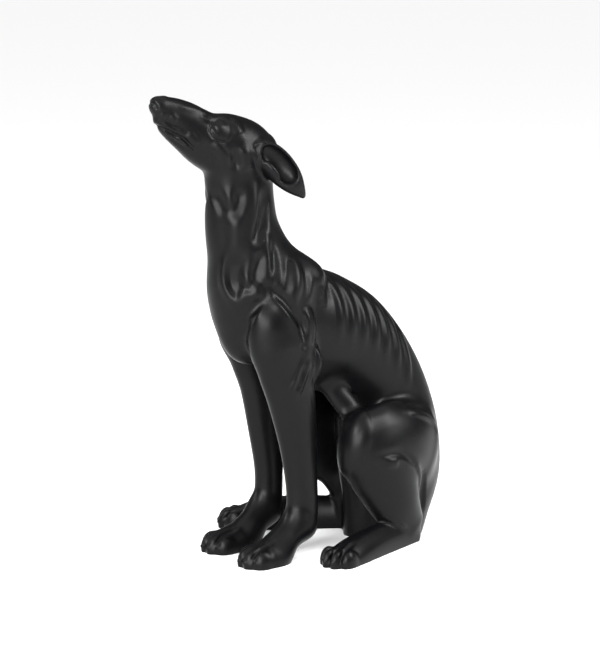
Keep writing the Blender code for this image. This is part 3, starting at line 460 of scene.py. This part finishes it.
def carve_neck(clay, side, back):
    def line(points, width, height, share=0.0):
        clay.line(mirrored(points, side, share * back), width, height)

    # Two broad muscles that come down from the jaw and the ear and join into one, as in a Y.
    line([(0.010, -0.317, 0.792), (0.022, -0.311, 0.777), (0.033, -0.303, 0.757), (0.039, -0.298, 0.736)],
         0.020, -0.007)
    line([(0.048, -0.276, 0.800), (0.048, -0.276, 0.773), (0.048, -0.281, 0.748), (0.048, -0.286, 0.728)],
         0.020, -0.006)
    line([(0.037, -0.297, 0.806), (0.043, -0.293, 0.778), (0.046, -0.291, 0.750), (0.047, -0.289, 0.722),
          (0.047, -0.285, 0.695)], 0.022, 0.008)
    line([(0.053, -0.252, 0.790), (0.052, -0.264, 0.756), (0.050, -0.276, 0.727), (0.048, -0.282, 0.696),
          (0.047, -0.282, 0.665), (0.046, -0.278, 0.630)], 0.024, 0.009)
    # Long strap muscle from the ear to the shoulder, with a hollow behind it.
    line([(0.049, -0.213, 0.797), (0.052, -0.215, 0.762), (0.057, -0.223, 0.728), (0.060, -0.235, 0.698),
          (0.061, -0.247, 0.673)], 0.024, -0.009)
    line([(0.053, -0.241, 0.812), (0.056, -0.237, 0.777), (0.059, -0.241, 0.746), (0.061, -0.251, 0.716),
          (0.061, -0.258, 0.686), (0.060, -0.262, 0.655), (0.060, -0.265, 0.628)], 0.022, 0.007)
    # Two straps that spread from the nape to the shoulder.
    line([(0.058, -0.204, 0.702), (0.063, -0.222, 0.685), (0.064, -0.238, 0.668), (0.065, -0.249, 0.650)],
         0.024, 0.008)
    line([(0.066, -0.227, 0.673), (0.071, -0.238, 0.654), (0.074, -0.247, 0.632), (0.076, -0.254, 0.610),
          (0.072, -0.266, 0.588), (0.064, -0.276, 0.571)], 0.013, -0.008, 0.5)
    line([(0.064, -0.215, 0.686), (0.069, -0.215, 0.662), (0.076, -0.219, 0.636), (0.080, -0.224, 0.610),
          (0.083, -0.221, 0.587)], 0.018, 0.008, 0.5)
    line([(0.065, -0.204, 0.675), (0.073, -0.202, 0.649), (0.081, -0.210, 0.621)], 0.014, -0.008, 0.5)
    # Hollow above the breastbone between two ridges that meet in a V.
    hollow = (side * 0.058, -0.293 + back, 0.612)
    clay.ball(hollow, (0.016, 0.024, 0.044), 0.012, turned(pitch=-6), cut=True)
    line([(0.043, -0.286, 0.669), (0.037, -0.290, 0.644), (0.040, -0.295, 0.618), (0.045, -0.293, 0.591),
          (0.051, -0.287, 0.570)], 0.013, -0.006, 1.0)
    line([(0.041, -0.291, 0.674), (0.036, -0.297, 0.653), (0.036, -0.302, 0.628), (0.040, -0.302, 0.602),
          (0.045, -0.298, 0.579), (0.049, -0.292, 0.560), (0.050, -0.286, 0.541)], 0.014, 0.008, 1.0)
    line([(0.072, -0.243, 0.644), (0.075, -0.251, 0.620), (0.075, -0.261, 0.596), (0.068, -0.271, 0.577),
          (0.058, -0.280, 0.560), (0.051, -0.283, 0.541)], 0.015, 0.008, 1.0)


def carve_shoulder(clay, side, back):
    def line(points, width, height):
        clay.line(mirrored(points, side, back), width, height)

    def lump(stations):
        clay.sweep([(side * x, y + back, z, wide, high) for x, y, z, wide, high in stations], 0.008)

    # Two long lumps of muscle on the shoulder blade, a ridge behind them and the grooves between.
    line([(0.067, -0.162, 0.640), (0.080, -0.169, 0.611), (0.090, -0.173, 0.590), (0.099, -0.172, 0.572)],
         0.013, -0.009)
    lump([(0.064, -0.186, 0.636, 0.007, 0.010), (0.071, -0.193, 0.616, 0.013, 0.015),
          (0.078, -0.202, 0.594, 0.013, 0.014), (0.080, -0.212, 0.574, 0.008, 0.010)])
    lump([(0.070, -0.153, 0.634, 0.010, 0.012), (0.079, -0.157, 0.610, 0.016, 0.019),
          (0.087, -0.166, 0.582, 0.017, 0.019), (0.092, -0.174, 0.556, 0.010, 0.011)])
    line([(0.077, -0.121, 0.620), (0.086, -0.119, 0.590), (0.092, -0.128, 0.563), (0.095, -0.145, 0.547)],
         0.014, 0.004)
    # Outline of the upper arm: a soft front edge, and a deep groove behind with a lip beside it.
    line([(0.083, -0.231, 0.567), (0.075, -0.246, 0.553), (0.068, -0.259, 0.532), (0.060, -0.264, 0.508),
          (0.050, -0.261, 0.479)], 0.013, -0.009)
    line([(0.085, -0.236, 0.558), (0.085, -0.248, 0.540), (0.084, -0.257, 0.522)], 0.012, 0.003)
    line([(0.083, -0.216, 0.591), (0.088, -0.207, 0.576), (0.095, -0.192, 0.559), (0.100, -0.178, 0.537),
          (0.099, -0.159, 0.513), (0.106, -0.154, 0.491), (0.111, -0.155, 0.466)], 0.013, -0.017)
    line([(0.087, -0.222, 0.573), (0.098, -0.214, 0.557), (0.106, -0.204, 0.544), (0.110, -0.192, 0.529),
          (0.111, -0.180, 0.507)], 0.016, 0.005)
    # Back of the upper arm.
    line([(0.095, -0.138, 0.549), (0.105, -0.130, 0.526), (0.109, -0.130, 0.499), (0.103, -0.129, 0.462)],
         0.008, -0.006)
    # Raised oval in front of the elbow with a slot down its middle, and the fold behind it.
    line([(0.105, -0.146, 0.440), (0.105, -0.157, 0.410), (0.107, -0.170, 0.382), (0.110, -0.186, 0.356)],
         0.022, 0.009)
    line([(0.104, -0.154, 0.422), (0.106, -0.165, 0.394), (0.110, -0.177, 0.368)], 0.011, -0.013)
    line([(0.096, -0.122, 0.457), (0.101, -0.117, 0.434), (0.101, -0.120, 0.404), (0.099, -0.124, 0.372)],
         0.008, -0.005)


def carve_ribs(clay, side):
    """Ribs that leave the back, bow towards the rump and fade above the belly."""
    back_y = (-0.056, 0.006, 0.065, 0.098, 0.137)
    back_z = (0.598, 0.574, 0.544, 0.517, 0.476)
    rib_behind_shoulder = [(0.078, -0.087, 0.584), (0.078, -0.085, 0.558), (0.084, -0.092, 0.534)]
    clay.line(mirrored(rib_behind_shoulder, side), 0.016, 0.004)
    for rib in range(1, RIB_COUNT + 1):
        start = -0.088 + RIB_SPACING * rib
        top = float(np.interp(start, back_y, back_z))
        bow = 0.014 + 0.001 * rib
        points = []
        for t in np.linspace(0, 1, 6):
            x = 0.040 + 0.047 * math.sin(math.pi / 2 * t)
            y = start + bow * math.sin(0.8 * math.pi * t)
            points.append((side * x, y, top - 0.14 * (0.55 + 0.45 * t) * t))
        clay.line(points, 0.014, RIB_HEIGHT)


def carve_hind_leg(clay, side):
    def line(points, width, height):
        clay.line(mirrored(points, side), width, height)

    # Upper edge of the thigh behind the flank, with a hollow above it.
    line([(0.120, 0.105, 0.303), (0.106, 0.147, 0.292), (0.087, 0.196, 0.275)], 0.014, -0.008)
    line([(0.135, 0.095, 0.296), (0.133, 0.118, 0.290), (0.128, 0.143, 0.280), (0.113, 0.183, 0.260),
          (0.110, 0.200, 0.236)], 0.013, 0.007)
    # Crease of the folded knee with a bulge under it.
    line([(0.167, 0.001, 0.219), (0.165, 0.026, 0.219), (0.163, 0.057, 0.216), (0.160, 0.082, 0.203),
          (0.157, 0.100, 0.187), (0.149, 0.115, 0.168)], 0.010, -0.009)
    line([(0.169, 0.018, 0.203), (0.171, 0.035, 0.198), (0.168, 0.056, 0.199)], 0.016, 0.006)
    soften_side(clay, side, (0.110, -0.03, 0.13), (0.200, 0.15, 0.25), 0.003)
    # Rear edge of the lower leg against the rump.
    line([(0.133, 0.146, 0.156), (0.112, 0.166, 0.116), (0.104, 0.172, 0.082), (0.102, 0.176, 0.057)],
         0.011, -0.010)
    line([(0.150, 0.116, 0.178), (0.135, 0.136, 0.143), (0.124, 0.148, 0.105), (0.118, 0.152, 0.072)],
         0.010, 0.008)
    # Front edge of the ankle.
    line([(0.147, 0.030, 0.072), (0.152, 0.048, 0.066), (0.151, 0.073, 0.054), (0.144, 0.098, 0.040)],
         0.008, 0.005)


def carve_face(clay, side):
    def line(points, width, height, fade=True):
        clay.line(mirrored(points, side), width, height, fade)

    # Mouth with an upper lip that hangs over it and a thin lower lip.
    line([(0.011, -0.440, 0.937), (0.016, -0.424, 0.929), (0.021, -0.409, 0.921), (0.024, -0.391, 0.912)],
         0.008, 0.003)
    line([(0.000, -0.441, 0.934), (0.007, -0.438, 0.929), (0.012, -0.429, 0.924), (0.014, -0.416, 0.917),
          (0.016, -0.403, 0.910), (0.018, -0.390, 0.903), (0.021, -0.380, 0.894), (0.024, -0.371, 0.885),
          (0.027, -0.362, 0.877)], 0.0055, -0.011)
    line([(0.010, -0.420, 0.908), (0.014, -0.404, 0.897), (0.017, -0.387, 0.886), (0.020, -0.375, 0.879)],
         0.005, -0.003)
    line([(0.006, -0.435, 0.925), (0.011, -0.424, 0.917), (0.014, -0.411, 0.910), (0.019, -0.397, 0.900),
          (0.022, -0.385, 0.890), (0.022, -0.376, 0.884)], 0.005, 0.003)
    # Whisker pads, edge of the nose bridge and folds behind the mouth.
    line([(0.015, -0.440, 0.959), (0.016, -0.430, 0.947)], 0.012, 0.003)
    line([(0.019, -0.421, 0.953), (0.021, -0.406, 0.938)], 0.013, 0.003)
    line([(0.017, -0.406, 0.972), (0.018, -0.378, 0.965), (0.017, -0.350, 0.959), (0.016, -0.328, 0.952)],
         0.012, 0.002)
    line([(0.024, -0.386, 0.916), (0.027, -0.374, 0.902), (0.028, -0.362, 0.886)], 0.016, 0.005)
    # Cheekbone, cheek, temple and the hollows between them.
    line([(0.040, -0.332, 0.879), (0.036, -0.325, 0.861), (0.033, -0.317, 0.844)], 0.014, -0.006)
    line([(0.039, -0.336, 0.893), (0.043, -0.324, 0.885), (0.046, -0.314, 0.872), (0.046, -0.304, 0.855),
          (0.042, -0.295, 0.836)], 0.019, 0.007)
    line([(0.051, -0.288, 0.880), (0.048, -0.281, 0.856), (0.047, -0.278, 0.835)], 0.015, -0.006)
    line([(0.054, -0.262, 0.890), (0.058, -0.263, 0.865), (0.056, -0.259, 0.845), (0.053, -0.257, 0.828)],
         0.023, 0.009)
    line([(0.033, -0.273, 0.934), (0.044, -0.273, 0.920), (0.049, -0.269, 0.904)], 0.019, 0.005)
    soften_side(clay, side, (0.005, -0.345, 0.79), (0.090, -0.235, 0.910), 0.0036)
    # Closed oval eye with a crease in front and below, under a raised brow and lid.
    eye = (0.70 * EYE_RADIUS, 1.05 * EYE_RADIUS, 0.90 * EYE_RADIUS)
    clay.ball((side * 0.0270, -0.310, 0.9155), eye, 0.010)
    crease = []
    for angle in np.linspace(math.radians(-145), math.radians(95), 11):
        long_way, short_way = math.cos(angle), math.sin(angle)
        crease.append((0.038, -0.311 - 0.0240 * long_way, 0.9165 + 0.0210 * short_way + 0.003 * long_way))
    line(crease, 0.005, -0.009)
    line([(0.036, -0.327, 0.930), (0.037, -0.328, 0.922)], 0.009, -0.005)
    line([(0.025, -0.348, 0.946), (0.029, -0.334, 0.939), (0.026, -0.322, 0.943), (0.022, -0.306, 0.945),
          (0.025, -0.292, 0.940), (0.033, -0.284, 0.929)], 0.008, 0.0045)
    # Roots of the ear.
    line([(0.054, -0.241, 0.880), (0.056, -0.232, 0.887), (0.061, -0.220, 0.890), (0.052, -0.200, 0.890)],
         0.006, 0.004)
    line([(0.054, -0.244, 0.876), (0.055, -0.241, 0.864), (0.056, -0.234, 0.849), (0.055, -0.229, 0.836)],
         0.006, 0.004)
    # Nostril.
    nostril = [(0.007, -0.457, 0.979), (0.012, -0.453, 0.975), (0.013, -0.449, 0.967)]
    line(nostril, 0.0045, -0.006, fade=False)


def model_dog(clay):
    model_trunk(clay)
    model_neck_and_head(clay)
    for side in (LEFT, RIGHT):
        model_foreleg(clay, side)
        model_hind_leg(clay, side)
        model_ear(clay, side)
    for side in (LEFT, RIGHT):
        back = 0.0 if side == LEFT else RIGHT_SHOULDER_SET_BACK
        carve_neck(clay, side, back)
        carve_shoulder(clay, side, back)
        soften_side(clay, side, (0.005, -0.36, 0.47), (0.150, -0.08, 0.83), 0.0045)
        carve_ribs(clay, side)
        carve_hind_leg(clay, side)
        carve_face(clay, side)


def skin(clay, share):
    """The clay's surface as a mesh in metres."""
    grid = openvdb.FloatGrid(float(NOWHERE))
    grid.copyFromArray(clay.field)
    points, triangles, quads = grid.convertToPolygons(0.0)
    points = (points * clay.cell + clay.low) * share
    faces = triangles.tolist() + quads[:, ::-1].tolist()
    mesh = bpy.data.meshes.new("greyhound_skin")
    mesh.from_pydata(points.tolist(), [], faces)
    return mesh


def thin_out(mesh, triangles):
    """The mesh with this many triangles, dense where the form bends."""
    draft = bpy.data.objects.new("draft", mesh)
    bpy.context.collection.objects.link(draft)
    modifier = draft.modifiers.new("Decimate", "DECIMATE")
    modifier.ratio = min(1.0, triangles / sum(len(face.vertices) - 2 for face in mesh.polygons))
    thinned = bpy.data.meshes.new_from_object(draft.evaluated_get(bpy.context.evaluated_depsgraph_get()))
    bpy.data.objects.remove(draft)
    return thinned


def stand_on_floor(mesh):
    """Flat soles and seat at z = 0, and the middle of the figure's plan over the origin."""
    bm = bmesh.new()
    bm.from_mesh(mesh)
    everything = bm.verts[:] + bm.edges[:] + bm.faces[:]
    bmesh.ops.bisect_plane(bm, geom=everything, dist=1e-5, plane_co=(0, 0, 0), plane_no=(0, 0, 1),
                           clear_inner=True)
    bmesh.ops.dissolve_degenerate(bm, dist=2e-5, edges=bm.edges[:])
    rim = [edge for edge in bm.edges if edge.is_boundary]
    bmesh.ops.edgeloop_fill(bm, edges=rim)
    bmesh.ops.recalc_face_normals(bm, faces=bm.faces[:])
    middles = []
    for axis in (0, 1):
        places = [vertex.co[axis] for vertex in bm.verts]
        middles.append((min(places) + max(places)) / 2)
        for vertex in bm.verts:
            vertex.co[axis] -= middles[axis]
    bm.to_mesh(mesh)
    bm.free()
    return middles


share_m = STATUE_HEIGHT_M / NOSE_TOP
cell_m = FINE_CELL_M
dog_clay = Clay((-0.27, -0.50, -0.03), (0.25, 0.34, 1.02), cell_m / share_m)
model_dog(dog_clay)
dog_mesh = thin_out(skin(dog_clay, share_m), SKIN_TRIANGLES)
clay_middle = stand_on_floor(dog_mesh)
dog_mesh.shade_smooth()
greyhound_skin = bpy.data.objects.new("greyhound_skin", dog_mesh)
bpy.context.collection.objects.link(greyhound_skin)
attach(greyhound_skin, "root")
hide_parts("greyhound")


# ---------------------------------------------------------------------------------------------------------
# Satin black paint over the cast.
# Two sprayed coats of black acrylic lacquer. The spray leaves a faint orange peel, and the sheen and the
# black change a little from place to place.

PAINT_BLACK = "#040405"
PAINT_WORN = "#070708"
PAINT_ROUGHNESS = (0.32, 0.39)
LACQUER_IOR = 1.45
LACQUER_SPECULAR_LEVEL = 0.14
ORANGE_PEEL_MM = 1.6
ORANGE_PEEL_DEPTH_M = 0.0004
SHEEN_PATCH_MM = 35.0


def linear(hex_colour):
    """An sRGB hex colour as linear red, green, blue and alpha."""
    levels = [int(hex_colour[i : i + 2], 16) / 255 for i in (1, 3, 5)]
    lit = [level / 12.92 if level <= 0.04045 else ((level + 0.055) / 1.055) ** 2.4 for level in levels]
    return (*lit, 1.0)


def add(tree, kind, settings=(), links=()):
    """A node with these property or socket settings, fed by (socket, source) pairs."""
    node = tree.nodes.new(kind)
    for name, value in dict(settings).items():
        if isinstance(name, str) and hasattr(node, name):
            setattr(node, name, value)
        else:
            node.inputs[name].default_value = value
    for name, source in dict(links).items():
        tree.links.new(source, node.inputs[name])
    return node


def satin_black_lacquer():
    """Gives the eye a deep black with broad soft highlights that change a little in sharpness."""
    material = bpy.data.materials.new("satin black lacquer on polyresin")
    material.use_nodes = True
    tree = material.node_tree
    shader = tree.nodes["Principled BSDF"]
    place = add(tree, "ShaderNodeTexCoord").outputs["Object"]
    patches = add(tree, "ShaderNodeTexNoise",
                  {"Scale": 1000 / SHEEN_PATCH_MM, "Detail": 3.0, "Roughness": 0.6},
                  {"Vector": place})
    peel = add(tree, "ShaderNodeTexNoise",
               {"Scale": 1000 / ORANGE_PEEL_MM, "Detail": 2.0, "Roughness": 0.5},
               {"Vector": place})
    colour = add(tree, "ShaderNodeMix",
                 {"data_type": "RGBA", 6: linear(PAINT_BLACK), 7: linear(PAINT_WORN)},
                 {0: patches.outputs["Fac"]})
    smoothest, roughest = PAINT_ROUGHNESS
    sheen = add(tree, "ShaderNodeMapRange",
                {"From Min": 0.3, "From Max": 0.7, "To Min": smoothest, "To Max": roughest},
                {"Value": patches.outputs["Fac"]})
    bump = add(tree, "ShaderNodeBump", {"Strength": 0.06, "Distance": ORANGE_PEEL_DEPTH_M},
               {"Height": peel.outputs["Fac"]})
    tree.links.new(colour.outputs[2], shader.inputs["Base Color"])
    tree.links.new(sheen.outputs["Result"], shader.inputs["Roughness"])
    tree.links.new(bump.outputs["Normal"], shader.inputs["Normal"])
    shader.inputs["IOR"].default_value = LACQUER_IOR
    shader.inputs["Specular IOR Level"].default_value = LACQUER_SPECULAR_LEVEL
    shader.inputs["Coat Weight"].default_value = 0.0
    return material


greyhound_skin.data.materials.append(satin_black_lacquer())


# ---------------------------------------------------------------------------------------------------------
# Studio floor.
# A matt white acrylic sheet that runs far behind the statue, so that it fades into the bright studio.

FLOOR_REACH_M = 60.0
FLOOR_WHITE = "#f7f7f7"

floor_mesh = bpy.data.meshes.new("studio_floor")
corners = [(-FLOOR_REACH_M, -FLOOR_REACH_M, 0), (FLOOR_REACH_M, -FLOOR_REACH_M, 0),
           (FLOOR_REACH_M, FLOOR_REACH_M, 0), (-FLOOR_REACH_M, FLOOR_REACH_M, 0)]
floor_mesh.from_pydata(corners, [], [(0, 1, 2, 3)])
studio_floor = bpy.data.objects.new("studio_floor", floor_mesh)
bpy.context.collection.objects.link(studio_floor)
# Gives the eye an even near-white ground with no shine.
floor_sheet = bpy.data.materials.new("matt white acrylic sheet")
floor_sheet.use_nodes = True
sheet_shader = floor_sheet.node_tree.nodes["Principled BSDF"]
sheet_shader.inputs["Base Color"].default_value = linear(FLOOR_WHITE)
sheet_shader.inputs["Roughness"].default_value = 0.9
sheet_shader.inputs["Specular IOR Level"].default_value = 0.1
studio_floor.data.materials.append(floor_sheet)


# ---------------------------------------------------------------------------------------------------------
# Camera.
# It stands in front of the dog's left side, a little above it, and looks slightly down.

CAMERA_AZIMUTH = 54.5
CAMERA_PITCH = 10.54
CAMERA_PLACE = (-0.070, -5.190, 1.430)
FOCAL_LENGTH_PX = 2450.0
IMAGE_HEIGHT_PX = 660.0
SENSOR_MM = 36.0

azimuth, pitch = math.radians(CAMERA_AZIMUTH), math.radians(CAMERA_PITCH)
rightwards = Vector((math.cos(azimuth), math.sin(azimuth), 0.0))
level_ahead = Vector((-math.sin(azimuth), math.cos(azimuth), 0.0))
ahead = level_ahead * math.cos(pitch) - Vector((0, 0, 1)) * math.sin(pitch)
upwards = rightwards.cross(ahead)
stand = rightwards * CAMERA_PLACE[0] + level_ahead * CAMERA_PLACE[1] + Vector((0, 0, CAMERA_PLACE[2]))
stand = stand * share_m - Vector((*clay_middle, 0))
lens = bpy.data.cameras.new("studio_camera")
lens.lens = FOCAL_LENGTH_PX / IMAGE_HEIGHT_PX * SENSOR_MM
lens.sensor_width = SENSOR_MM
studio_camera = bpy.data.objects.new("studio_camera", lens)
bpy.context.collection.objects.link(studio_camera)
turned_to_statue = Matrix((rightwards, upwards, -ahead)).transposed()
studio_camera.matrix_world = Matrix.Translation(stand) @ turned_to_statue.to_4x4()
bpy.context.scene.camera = studio_camera


# ---------------------------------------------------------------------------------------------------------
# Studio light.
# A dim white tent all round, with soft boxes that draw long pale highlights on the black paint.

TENT_STRENGTH = 0.14
STATUE_MIDDLE_M = (0, 0, 0.4)


def soft_light(name, azimuth_deg, elevation_deg, width_deg, strength):
    """A soft box so far that it lights everything evenly, width_deg across as the statue sees it."""
    lamp = bpy.data.lights.new(name, "SUN")
    lamp.angle = math.radians(width_deg)
    lamp.energy = strength
    holder = bpy.data.objects.new(name, lamp)
    bpy.context.collection.objects.link(holder)
    turn, lift = math.radians(azimuth_deg), math.radians(elevation_deg)
    towards = Vector((math.sin(turn) * math.cos(lift), -math.cos(turn) * math.cos(lift), math.sin(lift)))
    holder.location = towards * 3.0
    holder.rotation_euler = towards.to_track_quat("Z", "Y").to_euler()


def soft_panel(name, azimuth_deg, height_m, distance_m, width_m, tall_m, radiance):
    """A tall soft box of this brightness, turned to the statue."""
    lamp = bpy.data.lights.new(name, "AREA")
    lamp.shape = "RECTANGLE"
    lamp.size, lamp.size_y = width_m, tall_m
    lamp.energy = radiance * math.pi * width_m * tall_m
    holder = bpy.data.objects.new(name, lamp)
    bpy.context.collection.objects.link(holder)
    turn = math.radians(azimuth_deg)
    holder.location = (math.sin(turn) * distance_m, -math.cos(turn) * distance_m, height_m)
    holder.rotation_euler = (holder.location - Vector(STATUE_MIDDLE_M)).to_track_quat("Z", "Y").to_euler()


world = bpy.data.worlds.new("white_tent")
world.use_nodes = True
world.node_tree.nodes["Background"].inputs["Color"].default_value = (1, 1, 1, 1)
world.node_tree.nodes["Background"].inputs["Strength"].default_value = TENT_STRENGTH
bpy.context.scene.world = world
soft_light("overhead_box", 60, 74, 100, 2.9)
soft_panel("main_box", 48, 1.9, 5.4, 4.2, 2.2, 17.0)
soft_panel("front_box", 28, 2.2, 2.6, 0.6, 0.8, 44.0)
soft_panel("left_box", -40, 1.4, 2.2, 0.5, 1.5, 12.0)
soft_panel("right_box", 135, 1.6, 2.2, 0.5, 1.5, 28.0)
bpy.context.scene.view_settings.view_transform = "Standard"
